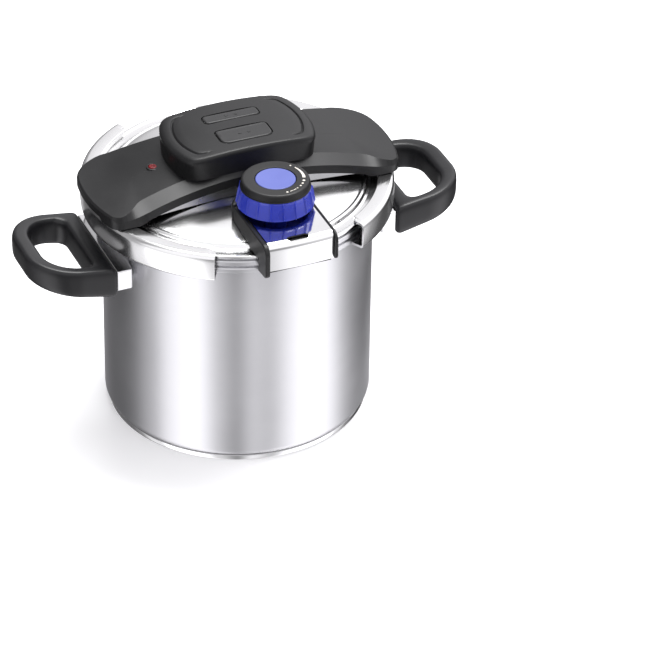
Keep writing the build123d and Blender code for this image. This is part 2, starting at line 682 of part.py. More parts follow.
with BuildPart() as plate:
    with BuildSketch(Plane.YZ.offset(-plate_half_width)) as side_view:
        with BuildLine():
            Polyline((plate_rear_y, housing_top_z), (plate_front_y, housing_top_z),
                     (plate_front_y, plate_bottom_z), (plate_front_y + plate_sheet, plate_bottom_z),
                     (plate_front_y + plate_sheet, housing_top_z - plate_sheet),
                     (plate_rear_y, housing_top_z - plate_sheet), close=True)
        make_face()
        fillet(side_view.vertices().sort_by_distance((plate_front_y, housing_top_z, 0))[0], plate_bend)
        fillet(side_view.vertices().sort_by_distance(
            (plate_front_y + plate_sheet, housing_top_z - plate_sheet, 0))[0], plate_bend - plate_sheet)
    extrude(amount=2 * plate_half_width)
    with Locations((0, valve_y, housing_top_z)):
        Cylinder(valve_stud_radius + 1.0, 10, mode=Mode.SUBTRACT)
    with BuildSketch(Plane.XY.offset(housing_top_z - plate_bend)):
        with Locations((0, plate_front_y + plate_bend)):
            SlotOverall(outlet_length, outlet_width)
    extrude(amount=2 * plate_bend, mode=Mode.SUBTRACT)
save(plate.part, "valve_cover_plate")

# ================= selector knob =================
knob_axis = Location((0, valve_y, 0))
web_z = knob_collar_z - 2.5
ring = turned([(valve_stud_radius + running, knob_bottom_z + 1.0), (knob_hub_radius, knob_bottom_z + 1.0),
               (knob_hub_radius, web_z), (knob_collar_radius - knob_wall, web_z),
               (knob_base_radius - knob_wall, knob_bottom_z), (knob_base_radius, knob_bottom_z),
               (knob_collar_radius, knob_collar_z), (valve_stud_radius + running, knob_collar_z)])
save(ring.moved(knob_axis), "knob_ring")

top_ring = turned([(knob_cap_radius, knob_collar_z), (knob_collar_radius, knob_collar_z),
                   (knob_collar_radius, knob_top_z), (knob_cap_radius, knob_top_z)],
                  rounds=[((knob_collar_radius, knob_top_z), 1.5)])
save(top_ring.moved(knob_axis), "knob_top_ring")

cap = turned([(0, knob_collar_z), (knob_cap_radius, knob_collar_z), (knob_cap_radius, knob_top_z),
              (0, knob_top_z)], rounds=[((knob_cap_radius, knob_top_z), 0.8)])
save(cap.moved(knob_axis), "knob_cap")

with BuildPart() as marks:
    with BuildSketch(Plane.XY.offset(knob_top_z)):
        with Locations((0, valve_y)):
            for i in range(scale_count):
                angle = radians(40.0 - i * scale_step)
                with Locations((scale_radius * cos(angle), scale_radius * sin(angle))):
                    Circle(0.7 + 0.12 * i)
    extrude(amount=scale_mark)
save(marks.part, "knob_scale")
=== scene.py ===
"""Looks for the pressure canner: meshes, materials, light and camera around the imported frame."""
from math import atan2, ceil, cos, degrees, hypot, pi, radians, sin, sqrt, tan

import bmesh
import bpy
from mathutils import Matrix, Vector


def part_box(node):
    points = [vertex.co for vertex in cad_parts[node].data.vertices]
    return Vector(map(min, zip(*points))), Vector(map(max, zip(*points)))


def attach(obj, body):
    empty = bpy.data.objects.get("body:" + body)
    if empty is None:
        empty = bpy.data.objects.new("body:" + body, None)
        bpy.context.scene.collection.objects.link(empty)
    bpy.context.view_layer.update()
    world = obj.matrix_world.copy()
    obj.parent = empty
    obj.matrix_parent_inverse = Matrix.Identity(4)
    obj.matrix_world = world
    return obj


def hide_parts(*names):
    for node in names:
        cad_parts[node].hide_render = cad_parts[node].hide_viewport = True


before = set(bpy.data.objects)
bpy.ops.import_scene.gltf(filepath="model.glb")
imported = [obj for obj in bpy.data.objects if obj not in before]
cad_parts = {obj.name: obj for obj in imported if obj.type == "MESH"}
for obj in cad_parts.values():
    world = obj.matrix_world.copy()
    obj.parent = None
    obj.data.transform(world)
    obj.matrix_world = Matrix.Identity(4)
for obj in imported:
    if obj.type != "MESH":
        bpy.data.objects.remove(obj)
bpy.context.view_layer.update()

MM = 0.001


# ------------------------------------------------------------------ places, from the frame
def low(node, axis):
    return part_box(node)[0][axis] / MM


def high(node, axis):
    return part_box(node)[1][axis] / MM


X, Y, Z = 0, 1, 2
POT_R = 111.0                                   # outside of the pot's wall, in millimetres as below
WALL = 1.2                                      # of the pot
FLOOR_Z = low("pot_body", Z)
RIM_Z = high("pot_body", Z)
RIM_R = high("pot_body", X)
RIM_LOW = RIM_Z - 12.9
LID_Z = RIM_Z + 0.3
LID_TOP = high("lid_shell", Z)
LID_EDGE = high("lid_shell", X)
JAW_R = 128.5                                   # the jaws' outer face
JAW_TOP = high("left_jaw", Z)
JAW_LOW = low("left_jaw", Z)
BRIDGE_R = high("bridge_cover", X)
BRIDGE_HALF = high("bridge_cover", Y)
BRIDGE_MID = high("bridge_cover", Z)
BRIDGE_END = 223.75                             # height of the arch at the end of its span
BRIDGE_LOW = low("bridge_cover", Z)
POD_Y = high("pod_shell", Y)
POD_TOP = high("pod_shell", Z)
KNOB_Y = (low("knob_ring", Y) + high("knob_ring", Y)) / 2
KNOB_LOW = low("knob_ring", Z)
KNOB_COLLAR = high("knob_ring", Z)
KNOB_TOP = high("knob_top_ring", Z)
HOUSING_TOP = high("valve_housing", Z)
HOUSING_LOW = low("valve_housing", Z)
HOUSING_FRONT = low("valve_housing", Y)
HOUSING_HALF = high("valve_housing", X)
PLATE_HALF = high("valve_cover_plate", X)
PLATE_RIGHT = PLATE_HALF + 1.4                  # the plate reaches further over the thin right wall
PLATE_FRONT = low("valve_cover_plate", Y)
PLATE_LOW = low("valve_cover_plate", Z)
HANDLE_TIP = high("right_handle", X)
HANDLE_BACK = low("right_handle", X)
HANDLE_HALF = high("right_handle", Y)


# ------------------------------------------------------------------ materials
def new_material(name):
    material = bpy.data.materials.new(name)
    material.use_nodes = True
    nodes, links = material.node_tree.nodes, material.node_tree.links
    return material, nodes, links, nodes["Principled BSDF"]


def noise(nodes, links, coords, scale, detail=4.0, stretch=(1, 1, 1)):
    """A noise texture in object space, stretched along the axes."""
    mapping = nodes.new("ShaderNodeMapping")
    mapping.inputs["Scale"].default_value = stretch
    texture = nodes.new("ShaderNodeTexNoise")
    texture.inputs["Scale"].default_value = scale
    texture.inputs["Detail"].default_value = detail
    links.new(coords.outputs["Object"], mapping.inputs["Vector"])
    links.new(mapping.outputs["Vector"], texture.inputs["Vector"])
    return texture


def spread(nodes, links, value, low_value, high_value, start=0.3, end=0.7):
    """Map a texture's value to a range."""
    node = nodes.new("ShaderNodeMapRange")
    node.inputs["From Min"].default_value = start
    node.inputs["From Max"].default_value = end
    node.inputs["To Min"].default_value = low_value
    node.inputs["To Max"].default_value = high_value
    links.new(value, node.inputs["Value"])
    return node.outputs["Result"]


def tint(nodes, links, value, dark, light):
    """Blend two colours by a texture's value."""
    ramp = nodes.new("ShaderNodeValToRGB")
    ramp.color_ramp.elements[0].position = 0.3
    ramp.color_ramp.elements[1].position = 0.7
    ramp.color_ramp.elements[0].color = (*dark, 1)
    ramp.color_ramp.elements[1].color = (*light, 1)
    links.new(value, ramp.inputs["Fac"])
    return ramp.outputs["Color"]


def add_bump(nodes, links, shader, height, strength, distance):
    bump = nodes.new("ShaderNodeBump")
    bump.inputs["Strength"].default_value = strength
    bump.inputs["Distance"].default_value = distance
    links.new(height, bump.inputs["Height"])
    links.new(bump.outputs["Normal"], shader.inputs["Normal"])


def steel(name, dark, light, rough, lines, anisotropy=0.0, line_bump=0.05, stretch=(1, 1, 60)):
    """Stainless steel: fine drawn lines, cloudy roughness and faint colour changes."""
    material, nodes, links, shader = new_material(name)
    coords = nodes.new("ShaderNodeTexCoord")
    cloud = noise(nodes, links, coords, 14.0, 5.0)
    fine = noise(nodes, links, coords, lines, 3.0, stretch)
    shader.inputs["Metallic"].default_value = 1.0
    shader.inputs["Anisotropic"].default_value = anisotropy
    links.new(tint(nodes, links, cloud.outputs["Fac"], dark, light), shader.inputs["Base Color"])
    links.new(spread(nodes, links, cloud.outputs["Fac"], *rough), shader.inputs["Roughness"])
    add_bump(nodes, links, shader, fine.outputs["Fac"], line_bump, 0.0002)
    if anisotropy:
        tangent = nodes.new("ShaderNodeTangent")
        tangent.direction_type = "RADIAL"
        tangent.axis = "Z"
        shader.inputs["Anisotropic Rotation"].default_value = 0.25
        links.new(tangent.outputs["Tangent"], shader.inputs["Tangent"])
    return material


def plastic(name, dark, light, rough, grain=900.0, grain_bump=0.25, specular=0.5, coat=0.0):
    """Moulded plastic: fine grain in the bump, and cloudy colour and roughness."""
    material, nodes, links, shader = new_material(name)
    coords = nodes.new("ShaderNodeTexCoord")
    cloud = noise(nodes, links, coords, 22.0, 6.0)
    fine = noise(nodes, links, coords, grain, 2.0)
    links.new(tint(nodes, links, cloud.outputs["Fac"], dark, light), shader.inputs["Base Color"])
    links.new(spread(nodes, links, cloud.outputs["Fac"], *rough), shader.inputs["Roughness"])
    shader.inputs["Specular IOR Level"].default_value = specular
    shader.inputs["Coat Weight"].default_value = coat
    add_bump(nodes, links, shader, fine.outputs["Fac"], grain_bump, 0.0001)
    return material


EVEN = (1, 1, 1)
SATIN = steel("satin_steel", (0.68, 0.68, 0.70), (0.78, 0.78, 0.80), (0.36, 0.42), 30.0,
              anisotropy=0.9, line_bump=0.05, stretch=(1, 1, 90))
POLISHED = steel("polished_steel", (0.76, 0.76, 0.765), (0.84, 0.84, 0.845), (0.06, 0.12), 60.0,
                 line_bump=0.015, stretch=EVEN)
LID_STEEL = steel("lid_steel", (0.78, 0.78, 0.78), (0.86, 0.86, 0.86), (0.15, 0.2), 60.0,
                  line_bump=0.02, stretch=EVEN)
CARRIER = steel("carrier_steel", (0.40, 0.40, 0.41), (0.48, 0.48, 0.49), (0.22, 0.3), 60.0,
                line_bump=0.03, stretch=EVEN)
INNER_STEEL = steel("inner_steel", (0.45, 0.45, 0.46), (0.6, 0.6, 0.6), (0.3, 0.45), 80.0,
                    line_bump=0.1, stretch=(1, 8, 1))
ALUMINIUM = steel("aluminium", (0.62, 0.62, 0.63), (0.72, 0.72, 0.72), (0.35, 0.5), 60.0,
                  line_bump=0.1, stretch=EVEN)
BRASS = steel("brass", (0.55, 0.40, 0.16), (0.72, 0.56, 0.27), (0.25, 0.4), 90.0,
              line_bump=0.08, stretch=(1, 1, 30))
BLACK = plastic("black_plastic", (0.006, 0.006, 0.0065), (0.010, 0.010, 0.0107), (0.34, 0.42),
                grain=1100.0, grain_bump=0.3, specular=0.32)
BUTTON = plastic("button_plastic", (0.012, 0.012, 0.0125), (0.018, 0.018, 0.019), (0.32, 0.40),
                 grain=1300.0, specular=0.4)
HANDLE = plastic("handle_plastic", (0.007, 0.007, 0.008), (0.012, 0.012, 0.0135), (0.30, 0.38),
                 grain=800.0, specular=0.36)
BLUE = plastic("blue_plastic", (0.012, 0.024, 0.33), (0.020, 0.038, 0.44), (0.26, 0.34),
               grain=1200.0, grain_bump=0.12, coat=0.1)
CAP_BLUE = plastic("cap_blue_plastic", (0.075, 0.095, 0.33), (0.095, 0.12, 0.38), (0.32, 0.42),
                   grain=1400.0, grain_bump=0.2)
RED = plastic("red_plastic", (0.12, 0.002, 0.004), (0.18, 0.004, 0.008), (0.25, 0.35),
              grain_bump=0.1, specular=0.3)
WHITE = plastic("white_print", (0.55, 0.52, 0.46), (0.68, 0.65, 0.60), (0.45, 0.55), grain_bump=0.1)
RUBBER = plastic("grey_silicone", (0.40, 0.40, 0.39), (0.50, 0.50, 0.48), (0.5, 0.62),
                 grain=500.0, grain_bump=0.3, specular=0.4)


# ------------------------------------------------------------------ mesh helpers
def add_object(name, points, faces, material, body, sharp=35.0):
    """A mesh piece from millimetre points, smooth except at sharp edges, riding on a body."""
    mesh = bpy.data.meshes.new(name)
    mesh.from_pydata([Vector(p) * MM for p in points], [], faces)
    mesh.validate()
    mesh.shade_smooth()
    mesh.set_sharp_from_angle(angle=radians(sharp))
    piece = bpy.data.objects.new(name, mesh)
    bpy.context.scene.collection.objects.link(piece)
    mesh.materials.append(material)
    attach(piece, body)
    return piece


def add_bevel(piece, width, segments=3, angle=30.0):
    bevel = piece.modifiers.new("edges", "BEVEL")
    bevel.width = width * MM
    bevel.segments = segments
    bevel.limit_method = "ANGLE"
    bevel.angle_limit = radians(angle)
    flat = piece.modifiers.new("flat_faces", "WEIGHTED_NORMAL")
    flat.keep_sharp = True
    flat.weight = 80


def rounded(points, radii, step=12.0):
    """Round a closed polygon's corners: radii is one radius, or a dict of corner index to radius."""
    result = []
    count = len(points)
    for i, corner in enumerate(points):
        radius = radii.get(i, 0.0) if isinstance(radii, dict) else radii
        here = Vector(corner)
        before = Vector(points[i - 1]) - here
        after = Vector(points[(i + 1) % count]) - here
        turn = before.angle(after)
        if radius <= 0 or turn > pi - 0.02:
            result.append(tuple(here))
            continue
        reach = min(radius / tan(turn / 2), before.length * 0.499, after.length * 0.499)
        radius = reach * tan(turn / 2)
        bisector = (before.normalized() + after.normalized()).normalized()
        centre = here + bisector * radius / sin(turn / 2)
        start = here + before.normalized() * reach - centre
        end = here + after.normalized() * reach - centre
        first = atan2(start.y, start.x)
        sweep = atan2(end.y, end.x) - first
        sweep = (sweep + pi) % (2 * pi) - pi
        steps = max(2, ceil(abs(degrees(sweep)) / step))
        for k in range(steps + 1):
            angle = first + sweep * k / steps
            result.append((centre.x + radius * cos(angle), centre.y + radius * sin(angle)))
    return result


def lathe(name, profile, material, body, centre=(0, 0), segments=240, ripple=None, sharp=35.0):
    """Turn a closed (radius, height) profile about an upright axis."""
    points, faces = [], []
    for i in range(segments):
        turn = radians(360.0 * i / segments)
        for radius, height in profile:
            if ripple:
                radius = ripple(radius, height, turn)
            points.append((centre[0] + radius * cos(turn), centre[1] + radius * sin(turn), height))
    count = len(profile)
    for i in range(segments):
        here, there = i * count, ((i + 1) % segments) * count
        for j in range(count):
            k = (j + 1) % count
            faces.append((here + j, there + j, there + k, here + k))
    piece = add_object(name, points, faces, material, body, sharp)
    weld(piece)
    return piece


def weld(piece, distance=1e-6):
    """Merge points that lie together, drop the collapsed faces, and point the faces outward."""
    mesh = piece.data
    build = bmesh.new()
    build.from_mesh(mesh)
    bmesh.ops.remove_doubles(build, verts=build.verts, dist=distance)
    bmesh.ops.dissolve_degenerate(build, edges=build.edges, dist=distance)
    bmesh.ops.recalc_face_normals(build, faces=build.faces)
    build.to_mesh(mesh)
    build.free()
    mesh.update()


def rings(name, loops, material, body, cap_low=True, cap_high=True, sharp=35.0, closed=False):
    """Join equal loops of points into a skin, with flat caps at its ends or closed on itself."""
    count = len(loops[0])
    points = [p for loop in loops for p in loop]
    faces = []
    last = len(loops) if closed else len(loops) - 1
    for i in range(last):
        here, there = i * count, ((i + 1) % len(loops)) * count
        for j in range(count):
            k = (j + 1) % count
            faces.append((here + j, here + k, there + k, there + j))
    if cap_low and not closed:
        faces.append(tuple(reversed(range(count))))
    if cap_high and not closed:
        faces.append(tuple(range((len(loops) - 1) * count, len(loops) * count)))
    piece = add_object(name, points, faces, material, body, sharp)
    weld(piece)
    return piece


def round_rectangle(half_x, half_y, radius, corner_steps, centre):
    """Points round a rectangle with round corners, anticlockwise from the right side's foot."""
    points = []
    for index, (sx, sy) in enumerate(((1, -1), (1, 1), (-1, 1), (-1, -1))):
        first = (index - 1) * pi / 2
        for k in range(corner_steps + 1):
            angle = first + pi / 2 * k / corner_steps
            points.append((centre[0] + sx * (half_x - radius) + radius * cos(angle),
                           centre[1] + sy * (half_y - radius) + radius * sin(angle)))
    return points


def prism(name, outline, low_z, high_z, material, body, bevel=0.0, segments=3):
    """Extrude a plan outline upright."""
    loops = [[(x, y, z) for x, y in outline] for z in (low_z, high_z)]
    piece = rings(name, loops, material, body)
    if bevel:
        add_bevel(piece, bevel, segments, 40.0)
    return piece


def smoothstep(value, start, end):
    """0 up to start, 1 from end, and a smooth change between."""
    t = min(1.0, max(0.0, (value - start) / (end - start)))
    return t * t * (3 - 2 * t)


# ------------------------------------------------------------------ pot
def make_pot():
    skirt = RIM_R - 2.7
    groove = RIM_R - 3.2
    inside = POT_R - WALL
    profile = [
        (0, FLOOR_Z), (POT_R, FLOOR_Z), (POT_R, RIM_Z - 4.0), (skirt, RIM_Z - 1.8),
        (skirt, RIM_LOW + 2.2), (skirt, RIM_LOW + 1.2), (skirt, RIM_LOW), (RIM_R, RIM_LOW),
        (RIM_R, RIM_LOW + 4.6), (groove, RIM_LOW + 5.0), (groove, RIM_LOW + 6.6),
        (RIM_R, RIM_LOW + 7.0), (RIM_R, RIM_Z - 1.6), (groove, RIM_Z - 1.6), (groove, RIM_Z),
        (inside, RIM_Z), (inside, FLOOR_Z + WALL), (0, FLOOR_Z + WALL)]
    radii = {1: 7.0, 2: 1.6, 3: 1.0, 6: 0.9, 7: 1.8, 8: 1.4, 9: 0.3, 10: 0.3, 11: 1.2,
             12: 1.3, 13: 0.3, 14: 0.3, 15: 0.6, 16: 5.8}
    body = lathe("pot_wall", rounded(profile, radii, 10.0), SATIN, "pot", segments=288)
    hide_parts("pot_body")

    sheet = 0.8
    foot = 108.0
    profile = [(0, 0.35), (foot - 14.0, 0.35), (foot - 12.0, 0), (foot, 0), (foot, FLOOR_Z - 0.3),
               (foot - sheet, FLOOR_Z - 0.3), (foot - sheet, sheet), (0, sheet)]
    cap = lathe("pot_base_cap", rounded(profile, {1: 2.0, 2: 2.0, 3: 1.2, 4: 0.3}, 12.0), POLISHED, "pot",
                segments=288)
    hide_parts("base_cap")


# ------------------------------------------------------------------ lid
def make_lid():
    sheet = 1.8
    flange = LID_Z + sheet
    step_r, step_in = 106.4, 103.6
    step_z = flange + 3.8
    flat_r, fall = 42.0, LID_TOP - step_z
    lip = 103.5
    seal_low = LID_Z - 6.5
    disc_r = step_in - 4.0
    disc = [(flat_r + (disc_r - flat_r) * k / 16, LID_TOP - fall * (k / 16) ** 2) for k in range(17)]
    profile = [
        (0, LID_TOP), *disc, (step_in - 2.0, step_z - 0.7), (step_in, step_z - 0.1),
        (step_in + 1.6, step_z - 1.0), (step_r, flange + 0.4), (step_r + 2.0, flange - 0.3),
        (LID_EDGE - 4.2, flange), (LID_EDGE - 2.8, LID_Z + 2.8), (LID_EDGE, LID_Z + 2.8), (LID_EDGE, LID_Z),
        (lip, LID_Z), (lip, seal_low), (lip - 1.6, seal_low), (lip - 1.6, LID_Z),
        (disc_r, step_z - sheet), (flat_r, LID_TOP - sheet), (0, LID_TOP - sheet)]
    first = len(disc) + 1                        # the corners after the disc
    after_disc = (1.2, 0.8, 0.8, 1.0, 1.2, 1.5, 1.2, 1.0, 1.3, 0.8, 0.5, 0.6, 0.6)
    radii = {first + k: radius for k, radius in enumerate(after_disc)}
    lid = lathe("lid_disc", rounded(profile, radii, 8.0), LID_STEEL, "lid", segments=288,
                sharp=50.0)
    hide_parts("lid_shell")


# ------------------------------------------------------------------ jaws
def make_jaw(name, node, middle):
    """A C-section arc; the top plate is cut back in a small S at both ends."""
    sheet = 2.0
    inner = 114.0
    lip = 115.0
    bulge = 0.9
    half_angle = 60.0
    notch_start, notch_end, notch_depth = 57.2, 58.4, 4.0       # degrees, degrees, millimetres
    turned = JAW_TOP - 3.6                       # the plate's inner edge is turned down
    base = [(inner, turned), (inner + 1.4, turned), (inner + 1.8, JAW_TOP - sheet),
            (JAW_R - sheet, JAW_TOP - sheet), (JAW_R - sheet, JAW_LOW + sheet),
            (lip, JAW_LOW + sheet), (lip, JAW_LOW), (JAW_R - bulge, JAW_LOW),
            (JAW_R, (JAW_LOW + JAW_TOP) / 2), (JAW_R - bulge, JAW_TOP), (inner, JAW_TOP)]
    radii = {0: 0.5, 1: 0.5, 3: 2.2, 4: 1.2, 5: 0.5, 6: 0.5, 7: 2.6, 8: 110.0, 9: 4.2, 10: 1.2}
    profile = rounded(base, radii, 9.0)
    angles = [half_angle * (2 * i / 120 - 1) for i in range(121)]
    for edge in (notch_start, notch_end):
        for k in range(-4, 5):
            angles += [edge + 0.18 * k, -edge - 0.18 * k]
    loops = []
    for angle in sorted(set(angles)):
        if abs(angle) > half_angle:
            continue
        cut = smoothstep(abs(angle), notch_start, notch_end) * notch_depth
        turn = radians(middle + angle)
        loop = []
        for radius, height in profile:
            if height > JAW_TOP - 8.0 and radius < inner + 8.0:
                radius = max(radius, inner + cut + (radius - inner) * 0.6)
            loop.append((radius * cos(turn), radius * sin(turn), height))
        loops.append(loop)
    jaw = rings(name, loops, LID_STEEL, node, sharp=40.0)
    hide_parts(node)


# ------------------------------------------------------------------ side handles
def between(begin, end, steps):
    """The points inside a straight run that is divided into equal steps."""
    return [(begin[0] + (end[0] - begin[0]) * k / steps, begin[1] + (end[1] - begin[1]) * k / steps)
            for k in range(1, steps)]


def make_handle(side, word):
    """A D-shaped loop: matching points on its outer and inner outlines carry one rounded section."""
    tip, back, half = HANDLE_TIP, HANDLE_BACK, HANDLE_HALF
    body_x, tip_wall, leg_wall = 138.5, 15.0, 11.0
    outer_corner, inner_corner = 37.0, 24.5
    back_corner_out, back_corner_in = 2.5, 9.5
    root_low, root_high = 147.5, 174.5
    tip_low, tip_high = 162.5, 184.0
    arc_steps, section = 14, 28
    squareness = 2 / 4.2                         # of the section: 1 is an ellipse, 0 a rectangle

    def outline(x0, x1, half_y, corner0, corner1):
        """Points from the back's middle round the front side, tip and rear side."""
        points = []
        left, right = x0 + corner0, x1 - corner1
        corners = ((left, -half_y + corner0, corner0, 180), (right, -half_y + corner1, corner1, 270),
                   (right, half_y - corner1, corner1, 0), (left, half_y - corner0, corner0, 90))
        for cx, cy, radius, first in corners:
            arc = []
            for k in range(arc_steps + 1):
                angle = radians(first + 90 * k / arc_steps)
                arc.append((cx + radius * cos(angle), cy + radius * sin(angle)))
            if points:
                points += between(points[-1], arc[0], 12)
            points += arc
        return points + between(points[-1], points[0], 16)

    outside = outline(back, tip, half, back_corner_out, outer_corner)
    inside = outline(body_x, tip - tip_wall, half - leg_wall, back_corner_in, inner_corner)
    loops = []
    for (ox, oy), (ix, iy) in zip(outside, inside):
        loop = []
        middle = Vector(((ox + ix) / 2, (oy + iy) / 2))
        reach = Vector((ox - ix, oy - iy)) / 2
        for k in range(section):
            angle = 2 * pi * (k + 0.5) / section
            across = abs(cos(angle)) ** squareness * (1 if cos(angle) > 0 else -1)
            up = abs(sin(angle)) ** squareness * (1 if sin(angle) > 0 else -1)
            x = middle.x + reach.x * across
            y = middle.y + reach.y * across
            t = min(1.0, max(0.0, (x - back) / (tip - back)))
            low_z = root_low + (tip_low - root_low) * t
            high_z = root_high + (tip_high - root_high) * t
            loop.append((side * x, y, (low_z + high_z) / 2 + (high_z - low_z) / 2 * up))
        loops.append(loop)
    handle = rings(f"{word}_handle_grip", loops, HANDLE, "pot", closed=True, sharp=60.0)
    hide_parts(f"{word}_handle")


# ------------------------------------------------------------------ bridge
def arch_z(x):
    """Height of the bridge's ridge at x: a circular arch that levels out towards its ends."""
    span, rise, turn_x, levelling = 104.0, BRIDGE_MID - BRIDGE_END, 90.0, 0.0019
    radius = (span ** 2 + rise ** 2) / (2 * rise)
    x = abs(x)
    if x <= turn_x:
        return BRIDGE_MID - radius + sqrt(radius ** 2 - x ** 2)
    slope = turn_x / sqrt(radius ** 2 - turn_x ** 2)
    past = x - turn_x
    return arch_z(turn_x) - slope * past + levelling * past ** 2


def bridge_side(inset, corner, waist_half):
    """A quarter of the bridge's outline, from its end round the corner to the middle of its side."""
    radius, half = BRIDGE_R - inset, BRIDGE_HALF - inset
    waist_half, waist_x = waist_half - inset, 104.0
    corner -= min(inset, corner * 0.8)
    corner_y = half - corner
    corner_x = sqrt((radius - corner) ** 2 - corner_y ** 2)
    turn = atan2(corner_y, corner_x)
    quarter = [(radius * cos(turn * k / 14), radius * sin(turn * k / 14)) for k in range(14)]
    for k in range(17):
        angle = turn + (pi / 2 - turn) * k / 16
        quarter.append((corner_x + corner * cos(angle), corner_y + corner * sin(angle)))
    rise = half - waist_half
    curve = (waist_x ** 2 + rise ** 2) / (2 * rise)
    for k in range(1, 37):
        x = corner_x * (1 - k / 36)
        y = waist_half + curve - sqrt(curve ** 2 - min(x, waist_x) ** 2)
        quarter.append((x, min(y, half)))
    return quarter


def bridge_plan(inset=0.0):
    """The bridge's outline: round ends, big rear corners, tight front corners, a waist in each side."""
    rear = bridge_side(inset, 30.0, 42.5)
    front = bridge_side(inset, 10.0, 39.0)
    upper = rear + [(-x, y) for x, y in reversed(rear[:-1])]
    lower = [(x, -y) for x, y in front] + [(-x, -y) for x, y in reversed(front[:-1])]
    return upper + lower[-2:0:-1]


def inward(plan):
    """Unit normals that point into an anticlockwise outline."""
    normals = []
    for i, _ in enumerate(plan):
        ahead, behind = Vector(plan[(i + 1) % len(plan)]), Vector(plan[i - 1])
        run = (ahead - behind).normalized()
        normals.append(Vector((-run.y, run.x)))
    return normals


ARM_CLEAR = JAW_TOP + 3.4                        # above the arms that pull the jaws


def arm_port(x, y):
    """1 where the jaws' arms pass under the bridge's ends, 0 elsewhere."""
    return 0.0 if abs(x) < 100.0 else 1 - smoothstep(abs(y), 26.0, 29.5)


def make_bridge():
    """The arched cover: a low upright band, a sloping crescent along the front, and a crowned top."""
    plan = bridge_plan()
    normals = inward(plan)
    spine_end, shoulder = 92.0, 118.0            # the crescent closes between these
    band = 13.2
    loops = []
    for row in ("foot", "band", "band_top", "crest", 0.9, 0.78, 0.62, 0.45, 0.28, 0.12, 0.0):
        loop = []
        for (x, y), normal in zip(plan, normals):
            edge = Vector((x, y))
            facing = smoothstep(normal.y, 0.45, 0.95)           # 1 along the front, 0 at the ends and rear
            waist = 1 - smoothstep(abs(x), 2.0, 50.0)
            closing = 1 - smoothstep(abs(x), spine_end, shoulder)
            crescent = 1.5 + facing * (1.2 * waist + 11.8 * (1 - waist) * closing)
            crest = edge + normal * crescent
            foot = max(BRIDGE_LOW, arch_z(x) - band - 4.0 * smoothstep(abs(x), 92.0, 104.0))
            foot += arm_port(x, y) * (ARM_CLEAR - foot)
            band_top = arch_z(x) - 2.2 - 3.4 * facing
            if row == "foot":
                p = (edge.x, edge.y, foot)
            elif row == "band":
                p = (edge.x, edge.y, (foot + band_top) / 2)
            elif row == "band_top":
                p = (edge.x, edge.y, band_top)
            elif row == "crest":
                p = (crest.x, crest.y, arch_z(crest.x) - 0.9)
            else:
                spine = Vector((max(-spine_end, min(spine_end, x)), 0))
                q = spine + (crest - spine) * row
                p = (q.x, q.y, arch_z(q.x) - 0.9 * row ** 2)
            loop.append(p)
        loops.append(loop)
    cover = rings("bridge_shell", loops, BLACK, "lid", cap_low=False, cap_high=False,
                  sharp=60.0)
    shell = cover.modifiers.new("wall", "SOLIDIFY")
    shell.thickness = 2.4 * MM
    shell.offset = -1.0
    add_bevel(cover, 0.7, 3, 12.0)
    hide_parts("bridge_cover")

    # the bright carrier that shows as a strip under the black band
    outer, inner = bridge_plan(2.5), bridge_plan(4.0)
    loops = []
    for plan, top in ((outer, 0), (outer, 1), (inner, 1), (inner, 0)):
        loop = []
        for x, y in plan:
            far = smoothstep(hypot(x, y), 100.0, 106.0)
            foot = LID_TOP + 0.4 + far * (BRIDGE_LOW + 1.2 - LID_TOP - 0.4)
            foot += arm_port(x, y) * (ARM_CLEAR + 0.8 - foot)
            head = max(foot + 1.0, arch_z(x) - band + 2.0 - 4.0 * far)
            loop.append((x, y, head if top else foot))
        loops.append(loop)
    rings("bridge_carrier", loops, CARRIER, "lid", closed=True, sharp=40.0)


POD_REACH = 62.4                                 # half the pod's length
OPEN_LENGTH, OPEN_WIDTH, OPEN_Y = 44.0, 20.0, -15.5
CLOSE_LENGTH, CLOSE_WIDTH, CLOSE_Y = 47.0, 11.5, 14.0
BUTTON_GAP = 1.1


def pod_plan(inset_x, inset_y, soften=6):
    """Barrel-shaped outline: long sides almost straight, ends bulging, four fairly tight corners."""
    corner_x, corner_y, reach_x, reach_y = 52.5, 37.4, POD_REACH, POD_Y
    points = []
    bulge = reach_x - corner_x
    end_radius = (corner_y ** 2 + bulge ** 2) / (2 * bulge)
    swell = reach_y - corner_y
    side_radius = (corner_x ** 2 + swell ** 2) / (2 * swell)
    end_turn = atan2(corner_y, corner_x - reach_x + end_radius)
    side_turn = atan2(corner_x, corner_y - reach_y + side_radius)
    for k in range(40):
        angle = -end_turn + 2 * end_turn * k / 40
        points.append((reach_x - end_radius + end_radius * cos(angle), end_radius * sin(angle)))
    for k in range(40):
        angle = side_turn - 2 * side_turn * k / 40
        points.append((side_radius * sin(angle), reach_y - side_radius + side_radius * cos(angle)))
    points += [(-x, -y) for x, y in points]
    for _ in range(soften):                      # soften the four corners
        points = [((points[i - 1][0] + 2 * x + points[(i + 1) % len(points)][0]) / 4,
                   (points[i - 1][1] + 2 * y + points[(i + 1) % len(points)][1]) / 4)
                  for i, (x, y) in enumerate(points)]
    return [(x * (1 - inset_x / reach_x), y * (1 - inset_y / reach_y)) for x, y in points]


def pod_crown(x, y):
    """How far the pod's top lies below its middle."""
    return -3.4 * (x / 50.0) ** 2 - 0.5 * (y / POD_Y) ** 2


